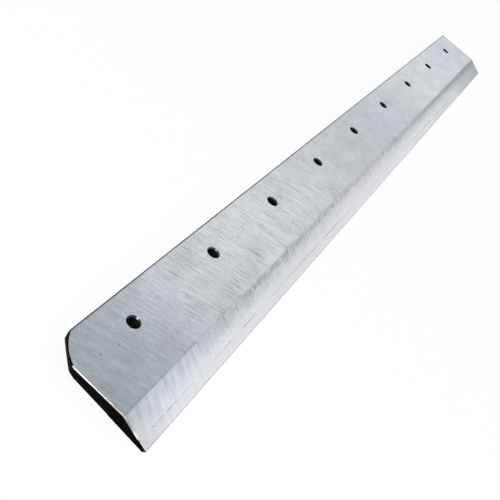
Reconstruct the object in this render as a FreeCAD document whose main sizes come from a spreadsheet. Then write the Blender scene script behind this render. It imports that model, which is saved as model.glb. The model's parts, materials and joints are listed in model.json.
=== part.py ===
import FreeCAD, Part
import math
import os
import Sketcher

# A paper cutter's knife: a long ground plate with one bevelled side, a strip of harder steel
# bonded into it along the cutting edge, and a row of tapped holes near its back edge.
# The plate lies on its flat side: +X runs along its length, the cutting edge faces -Y, the
# back edge faces +Y, and the ground upper side is at the top. Lengths are in millimetres.
# The origin is the middle of the box around the blade, at the height of the flat side.

SIZES = [
    ("blade_length", 1137.5, "end to end, measured where the near end reaches furthest"),
    ("blade_width", 100.0, "back edge to cutting edge"),
    ("blade_thickness", 11.7, "flat side to ground upper side"),
    ("bevel_angle", 23.0, "between the bevel and the flat side, in degrees"),
    ("inlay_width", 38.0, "cutting edge to the far side of the hard strip"),
    ("inlay_thickness", 3.5, "flat side to the bond under the backing steel"),
    ("near_end_distance", 72.5, "near end to the first hole"),
    ("near_end_lean", 2.3, "how far the near end leans in at the upper side, by the cutting edge"),
    ("near_end_skew_flat", 8.1, "how far the flat side's near end is out of square over the width"),
    ("near_end_skew_upper", 1.0, "how far the upper side's near end is out of square"),
    ("far_end_clearance", 60.0, "least distance from the last hole to the far end"),
    ("hole_pitch", 125.0, "hole to hole along the blade"),
    ("hole_from_back", 26.5, "back edge to the line of holes"),
    ("thread_diameter", 12.0, "outside diameter of the screws"),
    ("thread_pitch", 1.75, "one turn of the screws; the tapping drill is this much smaller"),
    ("countersink_margin", 0.7, "how far the countersink stands outside the thread"),
    ("countersink_angle", 90.0, "whole angle of the countersink, in degrees"),
    ("corner_along_length", 26.0, "cut corner at the near end, measured along the back edge"),
    ("corner_along_end", 25.0, "cut corner at the near end, measured along the end"),
    ("corner_radius_upper", 45.0, "bow of the cut corner at the upper side"),
    ("corner_radius_flat", 100.0, "bow of the cut corner at the flat side, nearly straight"),
    ("edge_break", 0.8, "small chamfer that takes the sharpness off the other edges"),
]

# Expressions that more than one feature shares
BEVEL_RUN = "Dimensions.blade_thickness / tan(Dimensions.bevel_angle * 1 deg)"
INLAY_RUN = "Dimensions.inlay_thickness / tan(Dimensions.bevel_angle * 1 deg)"
HOLE_COUNT = (
    "floor((Dimensions.blade_length - Dimensions.near_end_distance"
    " - Dimensions.far_end_clearance) / Dimensions.hole_pitch) + 1"
)

# How far a cutting outline stands outside the blade, and how near counts as touching
CUT_ROOM = 10.0
TOUCH = 0.001

# A sketch's own origin point and its horizontal axis
SKETCH_ORIGIN = (-1, 1)
SKETCH_X_AXIS = -1

doc = FreeCAD.newDocument("paper_cutter_blade")


# The sheet of driving dimensions

def make_sheet():
    sheet = doc.addObject("Spreadsheet::Sheet", "Dimensions")
    for row, (alias, value, meaning) in enumerate(SIZES, start=1):
        sheet.set(f"A{row}", alias.replace("_", " "))
        sheet.set(f"B{row}", str(value))
        sheet.set(f"C{row}", meaning)
        sheet.setAlias(f"B{row}", alias)
    doc.recompute()
    return {alias: float(sheet.get(alias)) for alias, _, _ in SIZES}


# Sketches

def make_sketch(body, name, plane, height=None):
    """An empty sketch on one of the body's own origin planes, lifted by an expression."""
    sketch = body.newObject("Sketcher::SketchObject", name)
    planes = {feature.Role: feature for feature in body.Origin.OriginFeatures}
    sketch.AttachmentSupport = (planes[plane], [""])
    sketch.MapMode = "FlatFace"
    if height:
        sketch.setExpression("AttachmentOffset.Base.z", height)
    return sketch


def draw_lines(sketch, points):
    """Straight lines joined at their ends, roughly in place until they are dimensioned."""
    vectors = [FreeCAD.Vector(across, up, 0) for across, up in points]
    for here, there in zip(vectors, vectors[1:]):
        sketch.addGeometry(Part.LineSegment(here, there))
    for line in range(len(points) - 2):
        join(sketch, line, line + 1)


def join(sketch, first, second):
    """The first line's end lies on the second line's start."""
    sketch.addConstraint(Sketcher.Constraint("Coincident", first, 2, second, 1))


def hold(sketch, kind, name, expression, *where):
    """A named dimension of the sketch, driven by the sheet."""
    start = float(sketch.evalExpression(expression))
    index = sketch.addConstraint(Sketcher.Constraint(kind, *where, start))
    sketch.renameConstraint(index, name)
    sketch.setExpression(f"Constraints.{name}", expression)


def level(sketch, *lines):
    for line in lines:
        sketch.addConstraint(Sketcher.Constraint("Horizontal", line))


def upright(sketch, *lines):
    for line in lines:
        sketch.addConstraint(Sketcher.Constraint("Vertical", line))


# Features that both bodies use

def pad_to_length(body, sketch, name):
    pad = body.newObject("PartDesign::Pad", name)
    pad.Profile = (sketch, [""])
    pad.SideType = "Symmetric"
    pad.setExpression("Length", "Dimensions.blade_length")
    doc.recompute()
    return pad


def edges_that(shape, belongs):
    """Names of the edges that pass the test."""
    return [f"Edge{number}" for number, edge in enumerate(shape.Edges, start=1) if belongs(edge)]


def outline_edges(shape, height):
    """Names of the edges around the flat face at this height, without the holes in it."""
    for face in shape.Faces:
        if abs(face.BoundBox.ZMin - height) < TOUCH and abs(face.BoundBox.ZMax - height) < TOUCH:
            outer = face.OuterWire.Edges
            return edges_that(shape, lambda edge: any(edge.isSame(other) for other in outer))
    raise RuntimeError(f"no flat face at height {height}")


def is_bevel_end(edge, size):
    """The edge is where the bevel meets one of the blade's two ends."""
    box = edge.BoundBox
    deepest_end = size["near_end_lean"] + size["near_end_skew_flat"]
    at_an_end = abs(box.Center.x) > size["blade_length"] / 2 - deepest_end
    return at_an_end and box.YLength > TOUCH and box.ZLength > TOUCH


def stays_sharp(edge, size):
    """The bevel's upper edge, the step's edge, or the near end's sawn edge on the flat side."""
    box = edge.BoundBox
    before_corner = box.YMax < size["blade_width"] / 2 - size["corner_along_end"] + TOUCH
    end_to_end = box.XLength > size["blade_length"] / 2
    near_end_of_flat = box.ZMax < TOUCH and box.Center.x < 0
    return before_corner and (end_to_end or near_end_of_flat)


def draw_near_end(body, size, name, lean, skew, bow, height):
    """What is cut from the near end at one height: a line out of square, then the corner's arc."""
    end = -size["blade_length"] / 2
    back = size["blade_width"] / 2
    inset = size[lean] if lean else 0.0
    slope = size[skew] / size["blade_width"]
    on_end = back - size["corner_along_end"]
    on_back = end + size["corner_along_length"]
    low_x = end + inset - slope * CUT_ROOM
    corner_x = end + inset + slope * (on_end + back)
    sketch = make_sketch(body, name, "XY_Plane", height)
    draw_lines(sketch, [
        (on_back, back),
        (on_back, back + CUT_ROOM),
        (end - CUT_ROOM, back + CUT_ROOM),
        (end - CUT_ROOM, -back - CUT_ROOM),
        (low_x, -back - CUT_ROOM),
        (corner_x, on_end),
    ])
    beside, behind, outside, below, end_line = range(5)
    start = FreeCAD.Vector(on_back, back, 0)
    finish = FreeCAD.Vector(corner_x, on_end, 0)
    chord = finish - start
    outward = FreeCAD.Vector(chord.y, -chord.x, 0).normalize()
    radius = size[bow]
    bulge = radius - math.sqrt(radius**2 - (chord.Length / 2)**2)
    middle = (start + finish) / 2 + outward * bulge
    arc = sketch.addGeometry(Part.Arc(start, middle, finish))
    sketch.addConstraint(Sketcher.Constraint("Coincident", arc, 2, end_line, 2))
    sketch.addConstraint(Sketcher.Constraint("Coincident", arc, 1, beside, 1))
    level(sketch, behind, below)
    upright(sketch, beside, outside)

    inset_cell = f"Dimensions.{lean}" if lean else "0"
    slope_cell = f"Dimensions.{skew} / Dimensions.blade_width"
    hold(sketch, "DistanceX", "corner_start",
         "Dimensions.blade_length / 2 - Dimensions.corner_along_length",
         beside, 1, *SKETCH_ORIGIN)
    hold(sketch, "DistanceY", "back_edge", "Dimensions.blade_width / 2",
         *SKETCH_ORIGIN, beside, 1)
    hold(sketch, "DistanceY", "along_end", "Dimensions.corner_along_end",
         end_line, 2, beside, 1)
    hold(sketch, "DistanceX", "end_at_corner",
         f"Dimensions.blade_length / 2 - {inset_cell}"
         f" - {slope_cell} * (Dimensions.blade_width - Dimensions.corner_along_end)",
         end_line, 2, *SKETCH_ORIGIN)
    hold(sketch, "DistanceX", "end_beyond_cutting_edge",
         f"Dimensions.blade_length / 2 - {inset_cell} + {slope_cell} * {CUT_ROOM}",
         end_line, 1, *SKETCH_ORIGIN)
    hold(sketch, "Radius", "bow", f"Dimensions.{bow}", arc)
    hold(sketch, "DistanceX", "room_outside",
         f"Dimensions.blade_length / 2 + {CUT_ROOM}", outside, 1, *SKETCH_ORIGIN)
    hold(sketch, "DistanceY", "room_behind", str(CUT_ROOM), beside, 1, beside, 2)
    hold(sketch, "DistanceY", "room_below",
         f"Dimensions.blade_width / 2 + {CUT_ROOM}", below, 1, *SKETCH_ORIGIN)
    return sketch


def cut_near_end(body, size):
    """Trims the near end and its back corner; both faces lean, and the flat side is askew."""
    lower = draw_near_end(body, size, "near_end_at_flat_side", None,
                          "near_end_skew_flat", "corner_radius_flat", None)
    upper = draw_near_end(body, size, "near_end_at_upper_side", "near_end_lean",
                          "near_end_skew_upper", "corner_radius_upper",
                          "Dimensions.blade_thickness")
    cut = body.newObject("PartDesign::SubtractiveLoft", "near_end_cut")
    cut.Profile = (lower, [""])
    cut.Sections = [(upper, [""])]
    cut.Ruled = True
    doc.recompute()
    return cut


def break_edges(body, base, names):
    """A small chamfer along the chosen edges."""
    chamfer = body.newObject("PartDesign::Chamfer", "broken_edges")
    chamfer.Base = (base, names)
    chamfer.ChamferType = "Equal distance"
    chamfer.setExpression("Size", "Dimensions.edge_break")
    doc.recompute()
    return chamfer


# The backing plate of tough steel

def draw_backing_section(body, size):
    """The plate's cross-section, with the bevel and the step that the hard strip fills."""
    half = size["blade_width"] / 2
    top = size["blade_thickness"]
    seam_height = size["inlay_thickness"]
    step = size["inlay_width"] - half
    sketch = make_sketch(body, "backing_section", "YZ_Plane")
    draw_lines(sketch, [
        (half, 0),
        (half, top),
        (0, top),
        (step - seam_height, seam_height),
        (step, seam_height),
        (step, 0),
        (half, 0),
    ])
    back, upper, bevel, seam, step_side, flat = range(6)
    join(sketch, flat, back)
    upright(sketch, back, step_side)
    level(sketch, upper, seam, flat)
    sketch.addConstraint(Sketcher.Constraint("PointOnObject", back, 1, SKETCH_X_AXIS))
    hold(sketch, "DistanceX", "half_width", "Dimensions.blade_width / 2", *SKETCH_ORIGIN, back, 1)
    hold(sketch, "DistanceY", "thickness", "Dimensions.blade_thickness", back, 1, back, 2)
    hold(sketch, "DistanceX", "upper_width", f"Dimensions.blade_width - {BEVEL_RUN}",
         bevel, 1, back, 2)
    hold(sketch, "DistanceX", "seam_start", f"Dimensions.blade_width - {INLAY_RUN}",
         seam, 1, back, 2)
    hold(sketch, "DistanceX", "flat_width", "Dimensions.blade_width - Dimensions.inlay_width",
         flat, 1, back, 1)
    hold(sketch, "DistanceY", "seam_height", "Dimensions.inlay_thickness",
         step_side, 2, step_side, 1)
    return sketch


def tap_holes(body, size):
    """A row of tapped holes, each with a countersunk mouth on the upper side."""
    first_x = -size["blade_length"] / 2 + size["near_end_distance"]
    line_y = size["blade_width"] / 2 - size["hole_from_back"]
    thread_radius = size["thread_diameter"] / 2
    sketch = make_sketch(body, "first_hole_place", "XY_Plane", "Dimensions.blade_thickness")
    circle = sketch.addGeometry(
        Part.Circle(FreeCAD.Vector(first_x, line_y, 0), FreeCAD.Vector(0, 0, 1), thread_radius)
    )
    hold(sketch, "DistanceX", "from_middle",
         "Dimensions.blade_length / 2 - Dimensions.near_end_distance",
         circle, 3, *SKETCH_ORIGIN)
    hold(sketch, "DistanceY", "line_of_holes",
         "Dimensions.blade_width / 2 - Dimensions.hole_from_back",
         *SKETCH_ORIGIN, circle, 3)
    hold(sketch, "Radius", "thread", "Dimensions.thread_diameter / 2", circle)
    doc.recompute()
    hole = body.newObject("PartDesign::Hole", "first_hole")
    hole.Profile = (sketch, [""])
    doc.recompute()
    hole.DepthType = "ThroughAll"
    hole.HoleCutType = "Countersink"
    hole.HoleCutCustomValues = True
    hole.setExpression("Diameter", "Dimensions.thread_diameter - Dimensions.thread_pitch")
    hole.setExpression("HoleCutDiameter",
                       "Dimensions.thread_diameter + 2 * Dimensions.countersink_margin")
    hole.setExpression("HoleCutCountersinkAngle", "Dimensions.countersink_angle * 1 deg")
    doc.recompute()
    row = body.newObject("PartDesign::LinearPattern", "row_of_holes")
    row.Originals = [hole]
    row.Direction = (sketch, ["H_Axis"])
    row.Mode = "Spacing"
    row.setExpression("Offset", "Dimensions.hole_pitch")
    row.setExpression("Occurrences", HOLE_COUNT)
    body.Tip = row
    doc.recompute()
    return row


def make_blade_body(size):
    body = doc.addObject("PartDesign::Body", "blade_body")
    body.Label = "blade_body"
    pad_to_length(body, draw_backing_section(body, size), "backing_plate")
    cut_near_end(body, size)
    row = tap_holes(body, size)

    upper_rim = outline_edges(row.Shape, size["blade_thickness"])
    flat_rim = outline_edges(row.Shape, 0)
    bevel_ends = edges_that(row.Shape, lambda edge: is_bevel_end(edge, size))
    kept_sharp = edges_that(row.Shape, lambda edge: stays_sharp(edge, size))
    rim = [name for name in upper_rim + flat_rim if name not in kept_sharp]
    body.Tip = break_edges(body, row, rim + bevel_ends)
    return body


# The hard strip that carries the cutting edge

def make_cutting_inlay(size):
    body = doc.addObject("PartDesign::Body", "cutting_inlay")
    body.Label = "cutting_inlay"
    edge = -size["blade_width"] / 2
    seam_height = size["inlay_thickness"]
    sketch = make_sketch(body, "inlay_section", "YZ_Plane")
    draw_lines(sketch, [
        (edge, 0),
        (edge + 2 * seam_height, seam_height),
        (edge + size["inlay_width"], seam_height),
        (edge + size["inlay_width"], 0),
        (edge, 0),
    ])
    bevel, seam, step_side, flat = range(4)
    join(sketch, flat, bevel)
    level(sketch, seam, flat)
    upright(sketch, step_side)
    hold(sketch, "DistanceX", "half_width", "Dimensions.blade_width / 2",
         bevel, 1, *SKETCH_ORIGIN)
    hold(sketch, "DistanceX", "bevel_run", INLAY_RUN, bevel, 1, bevel, 2)
    hold(sketch, "DistanceX", "width", "Dimensions.inlay_width", bevel, 1, step_side, 2)
    hold(sketch, "DistanceY", "thickness", "Dimensions.inlay_thickness",
         step_side, 2, step_side, 1)
    sketch.addConstraint(Sketcher.Constraint("PointOnObject", bevel, 1, SKETCH_X_AXIS))
    pad_to_length(body, sketch, "hard_strip")
    trimmed = cut_near_end(body, size)
    bevel_ends = edges_that(trimmed.Shape, lambda edge: is_bevel_end(edge, size))
    body.Tip = break_edges(body, trimmed, bevel_ends)
    return body


# Building, checking and writing the pieces

def check_everything(bodies):
    for item in doc.Objects:
        if "Invalid" in item.State or "Error" in item.State:
            raise RuntimeError(f"{item.Label} failed: {item.State}")
    for sketch in doc.findObjects("Sketcher::SketchObject"):
        if not sketch.FullyConstrained:
            raise RuntimeError(f"{sketch.Label} isn't fully constrained")
    for body in bodies:
        if body.Shape.isNull() or not body.Shape.isValid():
            raise RuntimeError(f"{body.Label} has no valid shape")


size = make_sheet()
bodies = [make_blade_body(size), make_cutting_inlay(size)]
doc.recompute()
check_everything(bodies)

os.makedirs("parts", exist_ok=True)
for body in bodies:
    body.Shape.exportStep(f"parts/{body.Label}.step")
    box = body.Shape.BoundBox
    print(body.Label, "solids", len(body.Shape.Solids), "volume", round(body.Shape.Volume, 1))
    print("  x", box.XMin, box.XMax, "y", box.YMin, box.YMax, "z", box.ZMin, box.ZMax)
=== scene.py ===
import json
import math

import bmesh
import bpy
from mathutils import Euler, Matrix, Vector


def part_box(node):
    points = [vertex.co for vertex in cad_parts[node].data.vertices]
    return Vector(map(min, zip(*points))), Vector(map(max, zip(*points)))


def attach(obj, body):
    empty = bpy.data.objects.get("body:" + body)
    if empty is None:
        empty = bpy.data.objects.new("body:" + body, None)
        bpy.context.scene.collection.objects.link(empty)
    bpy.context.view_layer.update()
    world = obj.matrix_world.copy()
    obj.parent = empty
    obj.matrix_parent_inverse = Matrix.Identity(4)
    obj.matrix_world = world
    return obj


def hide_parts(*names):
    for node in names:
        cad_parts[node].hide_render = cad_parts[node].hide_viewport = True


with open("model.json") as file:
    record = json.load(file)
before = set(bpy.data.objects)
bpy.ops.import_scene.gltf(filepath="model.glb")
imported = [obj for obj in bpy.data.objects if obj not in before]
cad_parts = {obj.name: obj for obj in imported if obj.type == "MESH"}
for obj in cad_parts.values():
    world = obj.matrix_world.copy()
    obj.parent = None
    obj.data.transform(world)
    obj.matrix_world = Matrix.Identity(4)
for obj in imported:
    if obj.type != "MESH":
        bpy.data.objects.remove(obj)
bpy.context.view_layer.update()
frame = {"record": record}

# A paper cutter's knife on a pale floor: a ground plate with a bevel, a hard strip bonded in along
# the cutting edge and nine tapped holes. Lengths are in metres. +X runs along the blade, away
# from the end with the cut corner, +Y points from the cutting edge to the back edge, +Z is up.

MM = 0.001

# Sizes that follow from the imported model
plate_low, plate_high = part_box("blade_body")
strip_low, strip_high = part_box("cutting_inlay")
NEAR = strip_low.x
FAR = plate_high.x
BACK = plate_high.y
TOP = plate_high.z
CUTTING_EDGE = strip_low.y
SEAM_Y = plate_low.y
SEAM_Z = strip_high.z
STEP_Y = strip_high.y
BEVEL_SLOPE = SEAM_Z / (SEAM_Y - CUTTING_EDGE)
BEVEL_TOP_Y = CUTTING_EDGE + TOP / BEVEL_SLOPE
BEVEL_ANGLE = math.atan(BEVEL_SLOPE)
UP_THE_BEVEL = Vector((0, math.cos(BEVEL_ANGLE), math.sin(BEVEL_ANGLE)))

# How far down the bevel's slant the seam and the cutting edge lie
SEAM_DOWN = (TOP - SEAM_Z) / math.sin(BEVEL_ANGLE)
BEVEL_DOWN = TOP / math.sin(BEVEL_ANGLE)

# The cut corner, from the near end and from the back edge
CORNER_ALONG_LENGTH = 25.8 * MM
UPPER_ALONG_END = 23 * MM
UPPER_INSET = 3.9 * MM
UPPER_RADIUS = 41 * MM
FLAT_ALONG_END = 21.2 * MM
FLAT_INSET = 7.0 * MM
FLAT_RADIUS = 400 * MM
CORNER_STEPS = 20

# The near end leans in at the upper side and is askew on the flat side
TIP_INSET = 2.3 * MM
END_INSET = 3.1 * MM
KNEE_Y = BACK - 26.6 * MM
KNEE_INSET = 5.4 * MM

# The tip of the cutting edge is blunted at the near end
BLUNT_ALONG_END = 2.4 * MM
BLUNT_ALONG_EDGE = 1.8 * MM

# The small round on the edges, and the band along the back edge that its round lies in
UPPER_ROUND = 1.0 * MM
FLAT_ROUND = 0.6 * MM
ROUND_STEPS = 4
BACK_BAND = 1.5 * UPPER_ROUND

# The screw thread M12 x 1.75 and the mouth of each hole
THREAD_PITCH = 1.75 * MM
THREAD_CREST = 5.125 * MM
THREAD_GROOVE = 6.0 * MM
MOUTH_RADIUS = 6.7 * MM
MOUTH_ROUND = 0.4 * MM
FAR_MOUTH_RADIUS = 6.25 * MM
HOLE_SIDES = 48
MOUTH_STEPS = 3

# The thread's flats on its crest and in its groove, and its rows of points, as shares of the pitch
CREST_SHARE = 1 / 4
GROOVE_SHARE = 1 / 8
THREAD_ROWS = [share / 16 for share in (2, 4, 5.5, 7, 9, 10.5, 12, 14)]

# The bond line's outline on the bevel: the step between its points, the margin that it keeps from
# both ends of the blade, and the extra points about each end of a dash, in millimetres
GROOVE_STEP = 2.5 * MM
GROOVE_END_MARGIN = 4 * MM
DASH_END_POINTS = (-1.2, -0.6, 0, 0.6, 1.2)

# The cutting edge ends in a narrow steeper facet, whose tip is set in by a share of its width
FACET_WIDTH = 0.55 * MM
TIP_SHARE = 0.35

# A chip in the cutting edge, in the far third of the blade: its place, half width and depth,
# and how much further it reaches up the bevel than into the edge
NICK_PLACE = NEAR + 788 * MM
NICK_HALF = 3.5 * MM
NICK_DEPTH = 1.2 * MM
NICK_SLOPE = 1.8
NICK_STEPS = 6

# Small pits in the ground top near the cut corner: from the near end, from the back edge and
# radius, in millimetres. Their rings are shares of the radius and of the depth
TOP_PITS = [(28.2, 28.6, 0.95), (46.0, 32.5, 0.8), (25.6, 31.9, 0.5)]
PIT_SIDES = 14
PIT_RINGS = [(1.0, 0.0), (0.8, 0.55), (0.45, 0.9)]
PIT_DEPTH_SHARE = 0.5

# Edges that turn by more than this look sharp
SHARP_ANGLE = math.radians(32)

# Lengths closer than these count as the same
SAME_RADIUS = 0.02 * MM
SAME_HEIGHT = 0.001 * MM

# The material slots of both pieces, in the order of the list of materials near the end
# SCALE is the slot of the near-black, rough material on the ends, the back edge and the cut corner
GROUND, BEVEL, BRIGHT, SCALE, MOUTH, RIM, THREAD, BOND, HONED = range(9)


# Small helpers for the shapes

def smoothstep(low, high, value):
    """Eases from 0 at low to 1 at high."""
    share = min(1.0, max(0.0, (value - low) / (high - low)))
    return share * share * (3 - 2 * share)


def hole_places():
    """The middle of each tapped hole, from the record's screw mounts."""
    places = []
    for mount in frame["record"]["mounts"]:
        x, y, _ = mount["pos_m"]
        if mount["kind"] == "bolt_pattern":
            half = mount["dims"]["spacing_x_mm"] / 2 * MM
            places += [(x - half, y), (x + half, y)]
        elif mount["kind"] == "threaded_hole":
            places.append((x, y))
    return sorted(places)


def corner_points(inset, along_end, radius, height):
    """The cut corner's outline at one height, from the end face round to the back edge."""
    start = Vector((NEAR + inset, BACK - along_end, height))
    finish = Vector((NEAR + CORNER_ALONG_LENGTH, BACK, height))
    half_chord = (finish - start) / 2
    along = half_chord.normalized()
    outward = Vector((-along.y, along.x, 0))
    half_turn = math.asin(half_chord.length / radius)
    centre = (start + finish) / 2 - outward * radius * math.cos(half_turn)
    points = []
    for step in range(CORNER_STEPS + 1):
        turn = half_turn * (2 * step / CORNER_STEPS - 1)
        points.append(centre + radius * (outward * math.cos(turn) + along * math.sin(turn)))
    return points


def on_circle(mesh, centre_x, centre_y, radius, height, side, sides):
    """A new point of a level circle that is divided into so many sides."""
    angle = 2 * math.pi * side / sides
    return mesh.verts.new((
        centre_x + radius * math.cos(angle),
        centre_y + radius * math.sin(angle),
        height,
    ))


def on_bevel(x, down):
    """A point of the bevel, so far down its slant from the ground top."""
    start = Vector((x, BEVEL_TOP_Y, TOP))
    return start - UP_THE_BEVEL * down


def flat_end(y):
    """Where the flat side ends at the near end: the cut runs a little askew."""
    share = (y - CUTTING_EDGE) / (KNEE_Y - CUTTING_EDGE)
    return NEAR + KNEE_INSET * share


def bevel_end(z):
    """Where the bevel ends at the near end, at this height."""
    return NEAR + TIP_INSET + (END_INSET - TIP_INSET) * z / TOP


def end_face_x(y, z):
    """The near end face between the flat side and the bevelled side."""
    return flat_end(y) + (NEAR + END_INSET - flat_end(y)) * z / TOP


def finish_piece(mesh, name, node):
    """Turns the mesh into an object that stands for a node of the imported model."""
    mesh.normal_update()
    data = bpy.data.meshes.new(name)
    mesh.to_mesh(data)
    mesh.free()
    data.set_sharp_from_angle(angle=SHARP_ANGLE)
    piece = bpy.data.objects.new(name, data)
    bpy.context.scene.collection.objects.link(piece)
    for material in materials:
        data.materials.append(material)
    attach(piece, "root")
    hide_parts(node)


# The bond line between the plate and the strip

# Where the bond line shows, as (from, to, width): lengths from the near end, in millimetres
BOND_DASHES = [
    (18.5, 21.1, 1.3),
    (24, 33, 0.36),
    (36, 51, 0.5),
    (51, 75, 0.22),
    (109, 118, 0.3),
    (125, 138, 0.42),
    (159, 177, 0.6),
    (169.5, 172.1, 1.2),
    (177, 184, 0.3),
    (212, 248, 0.3),
    (248, 332, 0.48),
    (349, 386, 0.75),
    (386, 403, 0.4),
    (416, 441, 0.35),
    (557, 623, 0.35),
    (642, 702, 0.4),
    (702, 738, 0.4),
    (752, 789, 0.75),
    (814, 845, 0.5),
    (860, 900, 0.6),
    (912, 942, 0.35),
    (962, 1022, 0.3),
]

# Each dash fades out at its ends, over a share of its length, and its width wavers between them.
# Lengths are in millimetres, and the wavers in radians to the millimetre
FADE_SHARE = 0.25
MIN_FADE = 0.6
LONGEST_FADING = 12
CLOSED_WIDTH = 0.03
WAVER_MIDDLE = 0.75
WAVER_SWING = 0.5
FAST_WAVER = 0.9
SLOW_WAVER = 0.23
WAVER_SHIFT = 7


def bond_opening(x):
    """How wide the bond line is open at this place, in metres."""
    from_near_end = (x - NEAR) / MM
    opening = CLOSED_WIDTH
    for start, finish, width in BOND_DASHES:
        fade = max(MIN_FADE, FADE_SHARE * min(finish - start, LONGEST_FADING))
        shown = smoothstep(start - fade, start + fade, from_near_end)
        shown *= 1 - smoothstep(finish - fade, finish + fade, from_near_end)
        fast = math.sin(from_near_end * FAST_WAVER + width * WAVER_SHIFT)
        slow = math.sin(from_near_end * SLOW_WAVER)
        opening = max(opening, width * shown * (WAVER_MIDDLE + WAVER_SWING * fast * slow))
    return opening * MM


def bond_stations():
    """Places along the blade where the bond line's outline has a point."""
    low = NEAR + GROOVE_END_MARGIN
    high = FAR - GROOVE_END_MARGIN
    stations = {low, high}
    steps = int((high - low) / GROOVE_STEP)
    for step in range(1, steps):
        stations.add(low + (high - low) * step / steps)
    for start, finish, _ in BOND_DASHES:
        for edge in (start, finish):
            for offset in DASH_END_POINTS:
                stations.add(NEAR + (edge + offset) * MM)
    return sorted(x for x in stations if low <= x <= high)


def bond_line(mesh, above):
    """Points of the bond line's lip on the bevel, and of its root inside the blade."""
    side = -1 if above else 1
    rim, root = [], []
    for x in bond_stations():
        opening = bond_opening(x)
        rim.append(mesh.verts.new(on_bevel(x, SEAM_DOWN + side * opening / 2)))
        root.append(mesh.verts.new((x, SEAM_Y + opening, SEAM_Z)))
    return rim, root


def wall_faces(mesh, first, second):
    """The narrow wall between two lines of points that share their ends."""
    for here in range(len(first) - 1):
        corners = []
        for point in (first[here], first[here + 1], second[here + 1], second[here]):
            if point not in corners:
                corners.append(point)
        if len(corners) > 2:
            mesh.faces.new(corners).material_index = BOND


# The backing plate

def plate_shell(mesh):
    """The plate without its holes; returns the edges that get a round."""
    upper = [mesh.verts.new(point) for point in
             corner_points(UPPER_INSET, UPPER_ALONG_END, UPPER_RADIUS, TOP)]
    lower = [mesh.verts.new(point) for point in
             corner_points(FLAT_INSET, FLAT_ALONG_END, FLAT_RADIUS, 0)]
    upper_near = mesh.verts.new((NEAR + END_INSET, BEVEL_TOP_Y, TOP))
    upper_far = mesh.verts.new((FAR, BEVEL_TOP_Y, TOP))
    upper_back = mesh.verts.new((FAR, BACK, TOP))
    knee_share = (KNEE_Y - BEVEL_TOP_Y) / (BACK - UPPER_ALONG_END - BEVEL_TOP_Y)
    knee_x = NEAR + END_INSET + (UPPER_INSET - END_INSET) * knee_share
    upper_knee = mesh.verts.new((knee_x, KNEE_Y, TOP))
    lower_knee = mesh.verts.new((flat_end(KNEE_Y), KNEE_Y, 0))
    lower_near = mesh.verts.new((flat_end(STEP_Y), STEP_Y, 0))
    lower_far = mesh.verts.new((FAR, STEP_Y, 0))
    lower_back = mesh.verts.new((FAR, BACK, 0))
    step_near = mesh.verts.new((end_face_x(STEP_Y, SEAM_Z), STEP_Y, SEAM_Z))
    step_far = mesh.verts.new((FAR, STEP_Y, SEAM_Z))
    seam_near = mesh.verts.new((bevel_end(SEAM_Z), SEAM_Y, SEAM_Z))
    seam_far = mesh.verts.new((FAR, SEAM_Y, SEAM_Z))

    rim, root = bond_line(mesh, above=True)
    rim = [seam_near, *rim, seam_far]
    root = [seam_near, *root, seam_far]

    def face(corners, material, smooth=False):
        made = mesh.faces.new(corners)
        made.material_index = material
        made.smooth = smooth

    upper_rim = [upper_near, upper_knee, *upper, upper_back, upper_far]
    lower_rim = [lower_near, lower_knee, *lower, lower_back, lower_far]
    face(upper_rim[::-1], GROUND)
    face(lower_rim, GROUND)
    face([upper_near, upper_knee, lower_knee, lower_near, step_near, seam_near], SCALE)
    face([upper_knee, upper[0], lower[0], lower_knee], SCALE)
    face([upper_far, seam_far, step_far, lower_far, lower_back, upper_back], SCALE)
    face([upper[-1], upper_back, lower_back, lower[-1]], SCALE)
    for here in range(CORNER_STEPS):
        face([upper[here], upper[here + 1], lower[here + 1], lower[here]], SCALE, smooth=True)
    face([upper_far, upper_near, *rim], BEVEL)
    face([seam_near, step_near, step_far, *reversed(root[1:])], BOND)
    face([step_near, lower_near, lower_far, step_far], BOND)
    wall_faces(mesh, root, rim)

    upper_edges = list(zip(upper_rim, upper_rim[1:]))
    upper_edges += [(upper_near, seam_near), (upper_far, seam_far)]
    lower_edges = list(zip(lower_rim, lower_rim[1:]))
    return [[mesh.edges.get(pair) for pair in pairs] for pairs in (upper_edges, lower_edges)]


def thread_depth(share):
    """How deep the thread is cut at this share of its rise: 0 on the crest, 1 in the groove."""
    from_crest = abs((share + 0.5) % 1 - 0.5)
    flank_start = CREST_SHARE / 2
    flank_end = 0.5 - GROOVE_SHARE / 2
    return min(1.0, max(0.0, (from_crest - flank_start) / (flank_end - flank_start)))


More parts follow.
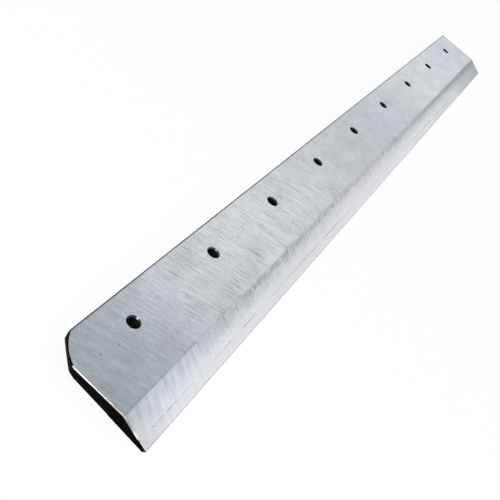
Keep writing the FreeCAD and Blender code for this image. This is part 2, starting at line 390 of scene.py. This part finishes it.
def tapped_hole(mesh, centre_x, centre_y):
    """A thread from side to side with a countersunk mouth; returns its rims, upper and lower."""
    tangent = MOUTH_ROUND * math.tan(math.pi / 8)
    field_top = TOP - tangent / math.sqrt(2)
    turns = math.ceil(TOP / THREAD_PITCH) + 2
    rows = [turn + share for turn in range(-2, turns) for share in THREAD_ROWS]
    columns = []
    for side in range(HOLE_SIDES):
        turn_share = side / HOLE_SIDES
        column = []
        for row in rows:
            height = min(field_top, max(0.0, THREAD_PITCH * (row + turn_share)))
            share = height / THREAD_PITCH - turn_share
            thread = THREAD_CREST + (THREAD_GROOVE - THREAD_CREST) * thread_depth(share)
            radius = max(thread, MOUTH_RADIUS - (TOP - height), FAR_MOUTH_RADIUS - height)
            if column and height == column[-1][1]:
                column.append(column[-1])
                continue
            point = on_circle(mesh, centre_x, centre_y, radius, height, side, HOLE_SIDES)
            column.append((point, height, radius))
        columns.append(column)

    for side, column in enumerate(columns):
        last = side == HOLE_SIDES - 1
        beside = columns[0][len(THREAD_ROWS):] if last else columns[side + 1]
        for row in range(min(len(column), len(beside)) - 1):
            around = [column[row], column[row + 1], beside[row + 1], beside[row]]
            corners = list(dict.fromkeys(point for point, _, _ in around))
            if len(corners) > 2:
                made = mesh.faces.new(corners)
                made.smooth = True
                middle = sum(height for _, height, _ in around) / len(around)
                in_mouth = all(
                    abs(radius - (MOUTH_RADIUS - (TOP - height))) < SAME_RADIUS
                    for _, height, radius in around
                )
                made.material_index = MOUTH if in_mouth and middle > TOP / 2 else THREAD

    lower_rim = [column[0][0] for column in columns]
    ring = [column[-1][0] for column in columns]
    round_centre = MOUTH_RADIUS + tangent
    for step in range(1, MOUTH_STEPS + 1):
        turn = math.pi / 4 * (1 - step / MOUTH_STEPS)
        radius = round_centre - MOUTH_ROUND * math.sin(turn)
        height = TOP - MOUTH_ROUND * (1 - math.cos(turn))
        outer = [
            on_circle(mesh, centre_x, centre_y, radius, height, side, HOLE_SIDES)
            for side in range(HOLE_SIDES)
        ]
        for side in range(HOLE_SIDES):
            after = (side + 1) % HOLE_SIDES
            made = mesh.faces.new([ring[side], outer[side], outer[after], ring[after]])
            made.smooth = True
            made.material_index = RIM
        ring = outer
    return ring, lower_rim


def pit(mesh, centre_x, centre_y, radius):
    """A small round pit in the ground top; returns its rim."""
    depth = radius * PIT_DEPTH_SHARE
    rings = []
    for share, sunk in PIT_RINGS:
        height = TOP - depth * sunk
        rings.append([
            on_circle(mesh, centre_x, centre_y, radius * share, height, side, PIT_SIDES)
            for side in range(PIT_SIDES)
        ])
    bottom = mesh.verts.new((centre_x, centre_y, TOP - depth))
    for side in range(PIT_SIDES):
        after = (side + 1) % PIT_SIDES
        for outer, inner in zip(rings, rings[1:]):
            made = mesh.faces.new([outer[side], outer[after], inner[after], inner[side]])
            made.material_index = BOND
            made.smooth = True
        made = mesh.faces.new([rings[-1][side], rings[-1][after], bottom])
        made.material_index = BOND
        made.smooth = True
    return rings[0]


def ring_edges(mesh, ring):
    """The edges of a closed ring of points."""
    return [mesh.edges.get((here, after)) for here, after in zip(ring, ring[1:] + ring[:1])]


def flat_face(mesh, height):
    """The large level face at this height."""
    level = [f for f in mesh.faces if all(abs(v.co.z - height) < SAME_HEIGHT for v in f.verts)]
    return max(level, key=lambda f: f.calc_area())


def open_up(mesh, face, rings):
    """Puts the face back with these rings left open in it."""
    outline = list(face.edges)
    up = face.normal.copy()
    material = face.material_index
    mesh.faces.remove(face)
    for ring in rings:
        outline += ring_edges(mesh, ring)
    filled = bmesh.ops.triangle_fill(mesh, use_beauty=True, edges=outline, normal=up)
    for made in filled["geom"]:
        if isinstance(made, bmesh.types.BMFace):
            made.material_index = material
            if made.normal.dot(up) < 0:
                made.normal_flip()


def round_off(mesh, edges, width, material):
    """Rounds these edges; returns the new faces."""
    made = bmesh.ops.bevel(
        mesh, geom=edges, offset=width, segments=ROUND_STEPS, profile=0.5,
        affect="EDGES", clamp_overlap=True, material=material,
    )
    for face in made["faces"]:
        face.smooth = True
    return made["faces"]


def make_plate():
    mesh = bmesh.new()
    upper_edges, lower_edges = plate_shell(mesh)
    round_off(mesh, lower_edges, FLAT_ROUND, SCALE)
    upper_edges = [edge for edge in upper_edges if edge.is_valid]
    for face in round_off(mesh, upper_edges, UPPER_ROUND, BRIGHT):
        middle = face.calc_center_median()
        beside_back = middle.y > BACK - BACK_BAND
        in_corner = (middle.x < NEAR + CORNER_ALONG_LENGTH
                     and middle.y > BACK - UPPER_ALONG_END + UPPER_ROUND)
        if beside_back or in_corner:
            face.material_index = SCALE
    mesh.normal_update()
    upper_rings, lower_rings = [], []
    for x, y in hole_places():
        upper, lower = tapped_hole(mesh, x, y)
        upper_rings.append(upper)
        lower_rings.append(lower)
    for from_end, from_back, radius in TOP_PITS:
        upper_rings.append(pit(mesh, NEAR + from_end * MM, BACK - from_back * MM, radius * MM))
    open_up(mesh, flat_face(mesh, TOP), upper_rings)
    open_up(mesh, flat_face(mesh, 0), lower_rings)
    finish_piece(mesh, "backing_plate", "blade_body")


# The hard strip

def nick_depth(x):
    """How deep the chip is at this place along the blade."""
    return NICK_DEPTH * (1 - smoothstep(0, NICK_HALF, abs(x - NICK_PLACE)))


def nick_stations():
    """Places along the blade where the cutting edge has a point."""
    steps = range(-NICK_STEPS, NICK_STEPS + 1)
    return [NEAR, *(NICK_PLACE + NICK_HALF * step / NICK_STEPS for step in steps), FAR]


def make_strip():
    mesh = bmesh.new()
    rim, root = bond_line(mesh, above=False)
    facet_top, facet_tip = [], []
    for x in nick_stations():
        chip = nick_depth(x)
        tip = CUTTING_EDGE + FACET_WIDTH * TIP_SHARE + chip
        top_down = BEVEL_DOWN - FACET_WIDTH - chip * NICK_SLOPE
        facet_top.append(mesh.verts.new(on_bevel(max(x, NEAR + TIP_INSET), top_down)))
        facet_tip.append(mesh.verts.new((max(x, NEAR + BLUNT_ALONG_EDGE), tip, 0)))

    def corner(x, y, z):
        return mesh.verts.new((x, y, z))

    seam_near = corner(bevel_end(SEAM_Z), SEAM_Y, SEAM_Z)
    seam_far = corner(FAR, SEAM_Y, SEAM_Z)
    step_near = corner(end_face_x(STEP_Y, SEAM_Z), STEP_Y, SEAM_Z)
    step_far = corner(FAR, STEP_Y, SEAM_Z)
    flat_near = corner(flat_end(STEP_Y), STEP_Y, 0)
    flat_far = corner(FAR, STEP_Y, 0)
    blunt_tip = corner(NEAR, CUTTING_EDGE + BLUNT_ALONG_END, 0)
    rim = [seam_near, *rim, seam_far]
    root = [seam_near, *root, seam_far]

    def face(corners, material):
        mesh.faces.new(corners).material_index = material

    face([*reversed(rim), *facet_top], BEVEL)
    for here in range(len(facet_top) - 1):
        face([facet_top[here + 1], facet_top[here], facet_tip[here], facet_tip[here + 1]], HONED)
    face([*facet_tip[::-1], blunt_tip, flat_near, flat_far], GROUND)
    face([flat_near, step_near, step_far, flat_far], BOND)
    face([step_near, *root, step_far], BOND)
    wall_faces(mesh, rim, root)
    face([seam_near, step_near, flat_near, blunt_tip, facet_top[0]], SCALE)
    face([blunt_tip, facet_tip[0], facet_top[0]], SCALE)
    face([seam_far, facet_top[-1], facet_tip[-1], flat_far, step_far], SCALE)
    bmesh.ops.recalc_face_normals(mesh, faces=mesh.faces)
    ends = [mesh.edges.get(pair) for pair in ((seam_near, facet_top[0]), (seam_far, facet_top[-1]))]
    round_off(mesh, ends, UPPER_ROUND, BRIGHT)
    finish_piece(mesh, "hard_strip", "cutting_inlay")


# Materials

def shade(red, green, blue):
    """A colour as it looks on a screen, 0 to 255, turned into the linear colour that nodes take."""
    def linear(level):
        level /= 255
        return level / 12.92 if level <= 0.04045 else ((level + 0.055) / 1.055) ** 2.4
    return (linear(red), linear(green), linear(blue), 1.0)


class Nodes:
    """The nodes of one material, with a short call for each kind that is used here."""

    def __init__(self, tree):
        self.tree = tree
        tree.nodes.clear()

    def add(self, kind, inputs, **settings):
        node = self.tree.nodes.new(kind)
        for setting, value in settings.items():
            setattr(node, setting, value)
        for socket, value in inputs.items():
            if isinstance(value, bpy.types.NodeSocket):
                self.tree.links.new(value, node.inputs[socket])
            else:
                node.inputs[socket].default_value = value
        return node

    def place(self):
        return self.add("ShaderNodeTexCoord", {}).outputs["Object"]

    def split(self, vector):
        return self.add("ShaderNodeSeparateXYZ", {0: vector}).outputs

    def maths(self, operation, *values):
        return self.add("ShaderNodeMath", dict(enumerate(values)), operation=operation).outputs[0]

    def between(self, value, low, high, at_low=0.0, at_high=1.0, smooth=True):
        """at_low up to low, at_high from high on, and a change from one to the other between."""
        kind = "SMOOTHSTEP" if smooth else "LINEAR"
        inputs = {"Value": value, "From Min": low, "From Max": high,
                  "To Min": at_low, "To Max": at_high}
        return self.add("ShaderNodeMapRange", inputs, interpolation_type=kind).outputs[0]

    def marks(self, place, width, length, turn=0.0, detail=2.0, roughness=0.6, shift=0.0):
        """Noise drawn out across the blade: marks of this width and length, turned about Z."""
        stretched = self.add("ShaderNodeMapping", {
            "Vector": place, "Location": (shift, shift, shift),
            "Rotation": (0, 0, turn), "Scale": (width, length, length),
        }, vector_type="TEXTURE").outputs[0]
        return self.add("ShaderNodeTexNoise", {
            "Vector": stretched, "Scale": 1.0, "Detail": detail, "Roughness": roughness,
        }).outputs["Fac"]

    def ramp(self, value, stops):
        node = self.add("ShaderNodeValToRGB", {0: value})
        node.color_ramp.interpolation = "EASE"
        elements = node.color_ramp.elements
        while len(elements) < len(stops):
            elements.new(0.5)
        for element, (position, colour) in zip(elements, stops):
            element.position = position
            element.color = colour
        return node.outputs["Color"]

    def mix(self, share, first, second):
        node = self.add("ShaderNodeMix", {0: share, 6: first, 7: second}, data_type="RGBA")
        return node.outputs[2]

    def scaled(self, colour, amount):
        return self.add("ShaderNodeVectorMath", {0: colour, "Scale": amount},
                        operation="SCALE").outputs[0]

    def weighted(self, parts, start=0.0):
        """The sum of the parts, each with its own weight."""
        total = start
        for value, weight in parts:
            inputs = {0: value, 1: weight, 2: total}
            total = self.add("ShaderNodeMath", inputs, operation="MULTIPLY_ADD").outputs[0]
        return total

    def bump(self, height, distance):
        return self.add("ShaderNodeBump", {
            "Height": height, "Distance": distance, "Strength": 1.0,
        }).outputs[0]

    def steel(self, **inputs):
        """The surface itself, and the end of the tree."""
        named = {socket.replace("_", " "): value for socket, value in inputs.items()}
        surface = self.add("ShaderNodeBsdfPrincipled", named).outputs[0]
        self.add("ShaderNodeOutputMaterial", {"Surface": surface})


def new_material(name):
    material = bpy.data.materials.new(name)
    material.use_nodes = True
    return material, Nodes(material.node_tree)


# How far the grinding marks lean, seen from above: the top's one way, the bevel's the other
TOP_LEAN = math.radians(15)
BEVEL_LEAN = math.radians(-17)

# Tones along the blade, from the near end to the far end: the steel's own colour, with painted
# reflection in how it changes along the blade
TOP_TONES_AND_REFLECTION = [
    (0.00, shade(169, 177, 184)),
    (0.05, shade(182, 189, 196)),
    (0.12, shade(204, 209, 214)),
    (0.24, shade(216, 219, 221)),
    (0.35, shade(208, 211, 215)),
    (0.48, shade(197, 201, 206)),
    (0.58, shade(196, 202, 208)),
    (0.76, shade(211, 216, 221)),
    (1.00, shade(202, 209, 217)),
]

BEVEL_UPPER_TONES_AND_REFLECTION = [
    (0.00, shade(192, 198, 206)),
    (0.04, shade(210, 216, 224)),
    (0.12, shade(202, 207, 213)),
    (0.40, shade(206, 208, 212)),
    (0.70, shade(188, 192, 198)),
    (1.00, shade(156, 164, 172)),
]

BEVEL_LOWER_TONES_AND_REFLECTION = [
    (0.00, shade(216, 218, 224)),
    (0.04, shade(230, 232, 238)),
    (0.30, shade(224, 225, 229)),
    (0.60, shade(224, 225, 230)),
    (0.80, shade(212, 214, 218)),
    (0.92, shade(182, 187, 193)),
    (1.00, shade(160, 165, 170)),
]


def ground_steel():
    """The flat faces, ground crosswise: thin marks in groups, stronger in some patches."""
    material, nodes = new_material("ground_steel")
    place = nodes.place()
    x, y, _ = nodes.split(place)
    along = nodes.between(x, NEAR, FAR, smooth=False)
    # The tone along the blade is partly painted reflection
    tone = nodes.ramp(along, TOP_TONES_AND_REFLECTION)
    broad = nodes.marks(place, 2.4 * MM, 26 * MM, TOP_LEAN, detail=2, roughness=0.5)
    marks = nodes.marks(place, 0.9 * MM, 28 * MM, TOP_LEAN, detail=2, roughness=0.6, shift=0.3)
    fine = nodes.marks(place, 0.6 * MM, 9 * MM, TOP_LEAN, detail=1, roughness=0.5, shift=0.7)
    grit = nodes.marks(place, 1.1 * MM, 1.3 * MM, 0.0, detail=2, roughness=0.6, shift=0.2)
    patches = nodes.marks(place, 15 * MM, 12 * MM, 0.0, detail=3, roughness=0.6, shift=0.5)
    clouds = nodes.marks(place, 45 * MM, 28 * MM, 0.0, detail=3, roughness=0.55, shift=0.8)
    specks = nodes.marks(place, 3 * MM, 3 * MM, 0.0, detail=2, roughness=0.7, shift=0.1)
    scratches = nodes.between(marks, 0.3, 0.42, -1.0, 0.0)
    streaks = nodes.weighted([(broad, 0.25), (marks, 0.7), (fine, 0.55), (grit, 0.45)], -0.975)
    streaks = nodes.maths("MULTIPLY_ADD", scratches, 0.14, streaks)
    soft = nodes.marks(place, 3.6 * MM, 20 * MM, TOP_LEAN, detail=2, roughness=0.4, shift=0.45)
    starting = nodes.between(x, NEAR + 20 * MM, NEAR + 150 * MM, 0.2, 1.0)
    fading = nodes.between(x, NEAR + 360 * MM, NEAR + 560 * MM, 1.0, 0.28)
    in_patches = nodes.between(patches, 0.3, 0.7, 0.5, 1.5)
    strength = nodes.maths("MULTIPLY", nodes.maths("MULTIPLY", starting, fading), in_patches)
    near_marks = nodes.maths("MULTIPLY", nodes.maths("SUBTRACT", soft, 0.5),
                             nodes.between(x, NEAR + 20 * MM, NEAR + 180 * MM, 0.42, 0.0))
    light = nodes.maths("MULTIPLY_ADD", streaks, strength, 1.0)
    light = nodes.maths("ADD", light, near_marks)
    light = nodes.maths("MULTIPLY", light, nodes.between(clouds, 0.25, 0.75, 0.93, 1.06))
    light = nodes.maths("MULTIPLY", light, nodes.between(patches, 0.3, 0.7, 1.03, 0.96))
    light = nodes.maths("MULTIPLY", light, nodes.between(specks, 0.3, 0.7, 0.95, 1.05))

    # Painted shade: the top is darker in a narrow band beside the round of the back edge
    back_edge_shade = nodes.between(y, BACK - UPPER_ROUND - 1.5 * MM, BACK - UPPER_ROUND, 1.0, 0.72)
    # Painted shade: the top is darker beside the bevel's edge, more so in some patches
    bevel_edge_shade = nodes.between(y, BEVEL_TOP_Y, BEVEL_TOP_Y + 2.5 * MM, 0.8, 1.0)
    painted_light_level = nodes.between(patches, 0.35, 0.65, 0.3, 1.0)
    bevel_edge_shade = nodes.maths("MULTIPLY_ADD", nodes.maths("SUBTRACT", bevel_edge_shade, 1.0), painted_light_level, 1.0)
    light = nodes.maths("MULTIPLY", light, nodes.maths("MULTIPLY", back_edge_shade, bevel_edge_shade))
    # Painted shade: the top is a little darker just before the far end
    far_end_shade = nodes.between(x, FAR - 12 * MM, FAR - 4 * MM, 1.0, 0.94)
    light = nodes.maths("MULTIPLY", light, far_end_shade)
    relief = nodes.weighted([(marks, 0.6), (fine, 0.4)])
    nodes.steel(Base_Color=nodes.scaled(tone, light), Metallic=1.0,
                Roughness=nodes.between(marks, 0.3, 0.7, 0.34, 0.44, smooth=False),
                Normal=nodes.bump(relief, 0.04 * MM))
    return material


def bevel_steel():
    """The bevel: swept marks and scuffs below its upper edge, fine lengthwise lines lower down."""
    material, nodes = new_material("bevel_steel")
    place = nodes.place()
    x, y, z = nodes.split(place)
    along = nodes.between(x, NEAR, FAR, smooth=False)
    down = nodes.between(z, TOP, 0.0, smooth=False)
    sweep = nodes.marks(place, 3.6 * MM, 30 * MM, BEVEL_LEAN, detail=3, roughness=0.65)
    fine = nodes.marks(place, 1.7 * MM, 4 * MM, BEVEL_LEAN, detail=2, roughness=0.65, shift=0.4)
    lines = nodes.marks(place, 60 * MM, 0.9 * MM, 0.0, detail=3, roughness=0.7, shift=0.9)
    patches = nodes.marks(place, 14 * MM, 7 * MM, 0.0, detail=3, roughness=0.6, shift=0.2)
    specks = nodes.marks(place, 2.5 * MM, 1.5 * MM, 0.0, detail=2, roughness=0.7, shift=0.6)
    uneven = nodes.maths("MULTIPLY_ADD", nodes.maths("SUBTRACT", patches, 0.5), 0.5, down)
    lower = nodes.between(uneven, 0.12, 0.68)
    upper = nodes.maths("SUBTRACT", 1.0, lower)
    # The tones along the blade are partly painted reflection
    tone = nodes.mix(lower, nodes.ramp(along, BEVEL_UPPER_TONES_AND_REFLECTION),
                     nodes.ramp(along, BEVEL_LOWER_TONES_AND_REFLECTION))
    near_end = nodes.between(x, NEAR, NEAR + 200 * MM, 0.34, 0.14)
    waves = nodes.maths("MULTIPLY", nodes.maths("SUBTRACT", sweep, 0.5),
                        nodes.maths("MULTIPLY_ADD", upper, 0.5, near_end))
    drawn = nodes.maths("MULTIPLY", nodes.maths("SUBTRACT", lines, 0.5),
                        nodes.between(x, NEAR + 200 * MM, NEAR + 800 * MM, 0.25, 0.6))
    light = nodes.maths("ADD", nodes.maths("ADD", waves, drawn), 1.0)
    light = nodes.maths("MULTIPLY", light, nodes.between(specks, 0.3, 0.7, 0.96, 1.04))

    under_edge = nodes.maths("MULTIPLY", nodes.between(down, 0.0, 0.08, 0.3, 1.0),
                             nodes.between(uneven, 0.08, 0.28, 1.0, 0.0))
    scuffed = nodes.maths("MULTIPLY", nodes.between(fine, 0.42, 0.58, 0.15, 1.0),
                          nodes.between(patches, 0.4, 0.56, 0.35, 1.0))
    where = nodes.between(x, NEAR + 90 * MM, NEAR + 200 * MM, 0.0, 1.0)
    scuffs = nodes.maths("MULTIPLY", nodes.maths("MULTIPLY", scuffed, under_edge), where)
    light = nodes.maths("MULTIPLY", light, nodes.maths("MULTIPLY_ADD", scuffs, -0.48, 1.0))
    far_shade = nodes.maths("MULTIPLY", nodes.between(down, 0.1, 0.4, 1.0, 0.0),
                            nodes.between(x, NEAR + 650 * MM, NEAR + 900 * MM, 0.0, 0.18))
    light = nodes.maths("MULTIPLY", light, nodes.maths("SUBTRACT", 1.0, far_shade))
    # Painted shade: a thin darker line along the bevel's upper edge
    bevel_top_shade = nodes.between(down, 0.015, 0.05, 0.95, 1.0)
    light = nodes.maths("MULTIPLY", light, bevel_top_shade)
    relief = nodes.weighted([(sweep, 0.5), (fine, 0.5)])
    nodes.steel(Base_Color=nodes.scaled(tone, light), Metallic=1.0,
                Roughness=nodes.between(sweep, 0.3, 0.7, 0.33, 0.4, smooth=False),
                Normal=nodes.bump(relief, 0.03 * MM))
    return material


def bright_steel():
    """The worn, shiny round on the edges of the ends; near white, partly a painted highlight."""
    material, nodes = new_material("bright_steel")
    place = nodes.place()
    y = nodes.split(place)["Y"]
    worn = nodes.marks(place, 3 * MM, 3 * MM, detail=3)
    # Painted highlight: the round's brightness is set across the blade, rising towards the back
    # edge and again low down the bevel's end
    painted_light_level = nodes.between(y, 5 * MM, BACK - UPPER_ALONG_END, 0.4, 0.75, smooth=False)
    beside_bevel = nodes.between(y, BEVEL_TOP_Y - 15 * MM, BEVEL_TOP_Y - 6 * MM, 0.55, 0.0)
    painted_light_level = nodes.maths("ADD", painted_light_level, beside_bevel)
    light = nodes.maths("MULTIPLY", painted_light_level, nodes.between(worn, 0.3, 0.7, 0.85, 1.1))
    colour = nodes.scaled(nodes.ramp(worn, [(0.3, shade(235, 236, 238)),
                                            (0.7, shade(248, 248, 250))]), light)
    nodes.steel(Base_Color=colour, Metallic=1.0,
                Roughness=nodes.between(worn, 0.3, 0.7, 0.2, 0.32, smooth=False))
    return material


def honed_steel():
    """The narrow facet along the cutting edge, darker than the bevel."""
    material, nodes = new_material("honed_steel")
    place = nodes.place()
    x = nodes.split(place)["X"]
    honed = nodes.marks(place, 9 * MM, 3 * MM, detail=3)
    tone = nodes.ramp(honed, [(0.3, shade(110, 112, 115)), (0.7, shade(160, 162, 165))])
    # Painted reflection: the facet is dim at the near end, brightest from the middle on, and dimmer
    # again at the far end
    near_end = nodes.between(x, NEAR + 30 * MM, NEAR + 60 * MM, 0.3, 0.8)
    middle = nodes.between(x, NEAR + 300 * MM, NEAR + 450 * MM, 0.0, 0.6)
    far_end = nodes.between(x, NEAR + 900 * MM, NEAR + 1000 * MM, 0.0, -0.8)
    painted_reflection = nodes.maths("ADD", nodes.maths("ADD", near_end, middle), far_end)
    nodes.steel(Base_Color=nodes.scaled(tone, painted_reflection), Metallic=1.0,
                Roughness=nodes.between(honed, 0.3, 0.7, 0.3, 0.4, smooth=False))
    return material


def rim_steel():
    """The bright rim around each hole."""
    material, nodes = new_material("rim_steel")
    place = nodes.place()
    worn = nodes.marks(place, 3 * MM, 3 * MM, detail=3)
    colour = nodes.ramp(worn, [(0.3, shade(205, 208, 212)), (0.7, shade(240, 241, 243))])
    nodes.steel(Base_Color=colour, Metallic=1.0,
                Roughness=nodes.between(worn, 0.3, 0.7, 0.25, 0.35, smooth=False))
    return material


def dark_scale():
    """The near-black, rough faces on the back edge, the ends and the cut corner."""
    material, nodes = new_material("dark_scale")
    place = nodes.place()
    grain = nodes.marks(place, 1.2 * MM, 1.2 * MM, detail=4, roughness=0.7)
    colour = nodes.ramp(grain, [(0.3, shade(1, 1, 1)), (0.75, shade(17, 14, 12))])
    nodes.steel(Base_Color=colour, Metallic=0.0, Specular_IOR_Level=0.01,
                Roughness=nodes.between(grain, 0.3, 0.7, 0.5, 0.75, smooth=False),
                Normal=nodes.bump(grain, 0.06 * MM))
    return material


def mouth_steel():
    """The countersink of each hole: dark, and glossy where it catches a light."""
    material, nodes = new_material("mouth_steel")
    place = nodes.place()
    turned = nodes.marks(place, 2 * MM, 2 * MM, detail=3)
    colour = nodes.ramp(turned, [(0.3, shade(52, 53, 55)), (0.7, shade(92, 94, 96))])
    nodes.steel(Base_Color=colour, Metallic=1.0,
                Roughness=nodes.between(turned, 0.3, 0.7, 0.16, 0.26, smooth=False))
    return material


def thread_steel():
    """The dark, somewhat glossy thread inside the holes."""
    material, nodes = new_material("thread_steel")
    place = nodes.place()
    stains = nodes.marks(place, 1.5 * MM, 1.5 * MM, detail=3)
    colour = nodes.ramp(stains, [(0.3, shade(8, 8, 9)), (0.75, shade(44, 45, 47))])
    nodes.steel(Base_Color=colour, Metallic=1.0,
                Roughness=nodes.between(stains, 0.3, 0.7, 0.25, 0.45, smooth=False))
    return material


def bond_metal():
    """The dull grey metal in the bond line and the pits."""
    material, nodes = new_material("bond_metal")
    place = nodes.place()
    stains = nodes.marks(place, 1.0 * MM, 1.0 * MM, detail=3)
    colour = nodes.ramp(stains, [(0.3, shade(114, 117, 120)), (0.7, shade(156, 159, 162))])
    nodes.steel(Base_Color=colour, Metallic=0.6, Roughness=0.6,
                Normal=nodes.bump(stains, 0.05 * MM))
    return material


# The floor, the light and the camera

WHITE = (1, 1, 1, 1)
FLOOR_HALF = 6.0
FLOOR_TONE = shade(238, 238, 238)
WHITE_SHARE = 0.88

# Painted shade on the floor: a dark disc under each hole, so that the hole stays dark. The discs
# repeat along the row, and there are none nearer than this margin to the plate's ends, nor past
# them
UNDER_HOLE_SHADE = shade(40, 40, 41)
UNDER_MARGIN = 40 * MM
UNDER_HOLE = FAR_MOUTH_RADIUS + 0.3 * MM


def make_floor():
    mesh = bmesh.new()
    for x, y in ((-1, -1), (1, -1), (1, 1), (-1, 1)):
        mesh.verts.new((x * FLOOR_HALF, y * FLOOR_HALF, 0))
    mesh.faces.new(mesh.verts)
    data = bpy.data.meshes.new("floor")
    mesh.to_mesh(data)
    mesh.free()
    floor = bpy.data.objects.new("floor", data)
    bpy.context.scene.collection.objects.link(floor)
    material, nodes = new_material("pale_floor")
    white = nodes.add("ShaderNodeEmission", {"Color": WHITE, "Strength": 1.0}).outputs[0]
    path = nodes.add("ShaderNodeLightPath", {}).outputs
    seen = nodes.maths("MAXIMUM", path["Is Camera Ray"], path["Is Glossy Ray"])
    x, y, _ = nodes.split(nodes.place())
    beyond_ends = nodes.maths("GREATER_THAN", nodes.maths("ABSOLUTE", x), FAR - UNDER_MARGIN)
    holes = hole_places()
    first_x, row_y = holes[0]
    half_pitch = (holes[1][0] - first_x) / 2
    from_hole_x = nodes.maths("WRAP", nodes.maths("SUBTRACT", x, first_x), half_pitch, -half_pitch)
    from_hole_y = nodes.maths("SUBTRACT", y, row_y)
    squared = nodes.maths("ADD", nodes.maths("MULTIPLY", from_hole_x, from_hole_x),
                          nodes.maths("MULTIPLY", from_hole_y, from_hole_y))
    beside_holes = nodes.maths("GREATER_THAN", squared, UNDER_HOLE ** 2)
    uncovered = nodes.maths("MAXIMUM", beyond_ends, beside_holes)
    # The dark discs are painted shade under the holes
    tone = nodes.mix(uncovered, UNDER_HOLE_SHADE, FLOOR_TONE)
    paper = nodes.add("ShaderNodeBsdfDiffuse", {"Color": tone}).outputs[0]
    share = nodes.maths("MULTIPLY", nodes.maths("MULTIPLY", seen, uncovered), WHITE_SHARE)
    both = nodes.add("ShaderNodeMixShader", {0: share, 1: paper, 2: white}).outputs[0]
    nodes.add("ShaderNodeOutputMaterial", {"Surface": both})
    data.materials.append(material)


def make_world():
    world = bpy.data.worlds.new("studio")
    bpy.context.scene.world = world
    world.use_nodes = True
    nodes = Nodes(world.node_tree)
    direction = nodes.add("ShaderNodeTexCoord", {}).outputs["Generated"]
    height = nodes.split(direction)["Z"]
    around = nodes.ramp(height, [(0.0, WHITE), (0.45, (0.97, 0.97, 0.97, 1)),
                                 (1.0, (0.78, 0.79, 0.8, 1))])
    path = nodes.add("ShaderNodeLightPath", {}).outputs
    colour = nodes.mix(path["Is Camera Ray"], around, WHITE)
    background = nodes.add("ShaderNodeBackground", {"Color": colour, "Strength": 1.0}).outputs[0]
    nodes.add("ShaderNodeOutputWorld", {"Surface": background})


LAMP_PLACE = Vector((-2.3, 0.1, 1.6))
LAMP_TARGET = Vector((-0.4, 0, 0))
LAMP_SIDE = 1.0
LAMP_POWER = 30


def make_lamp():
    """One soft lamp, high up beyond the near end."""
    data = bpy.data.lights.new("window", "AREA")
    data.shape = "RECTANGLE"
    data.size = LAMP_SIDE
    data.size_y = LAMP_SIDE
    data.energy = LAMP_POWER
    lamp = bpy.data.objects.new("window", data)
    bpy.context.scene.collection.objects.link(lamp)
    lamp.location = LAMP_PLACE
    lamp.rotation_euler = (LAMP_TARGET - LAMP_PLACE).to_track_quat("-Z", "Y").to_euler()
    lamp.visible_camera = False


CAMERA_PLACE = Vector((-0.86927, -0.04244, 0.43444))
CAMERA_TARGET = Vector((-0.31794, 0.00367, 0.0))
CAMERA_ROLL = math.radians(39.1)

# The camera's lens and sensor, in millimetres, and the nearest and furthest that it sees, in metres
CAMERA_LENS = 52.027
SENSOR_WIDTH = 36
NEAREST_SEEN = 0.01
FURTHEST_SEEN = 50


def make_camera():
    data = bpy.data.cameras.new("camera")
    data.lens = CAMERA_LENS
    data.sensor_width = SENSOR_WIDTH
    data.clip_start = NEAREST_SEEN
    data.clip_end = FURTHEST_SEEN
    camera = bpy.data.objects.new("camera", data)
    bpy.context.scene.collection.objects.link(camera)
    camera.location = CAMERA_PLACE
    aim = (CAMERA_TARGET - CAMERA_PLACE).to_track_quat("-Z", "Y")
    roll = Euler((0, 0, CAMERA_ROLL)).to_quaternion()
    camera.rotation_mode = "QUATERNION"
    camera.rotation_quaternion = aim @ roll
    bpy.context.scene.camera = camera


materials = [
    ground_steel(), bevel_steel(), bright_steel(), dark_scale(), mouth_steel(),
    rim_steel(), thread_steel(), bond_metal(), honed_steel(),
]
make_camera()
make_plate()
make_strip()
make_floor()
make_world()
make_lamp()
bpy.context.scene.view_settings.view_transform = "Standard"
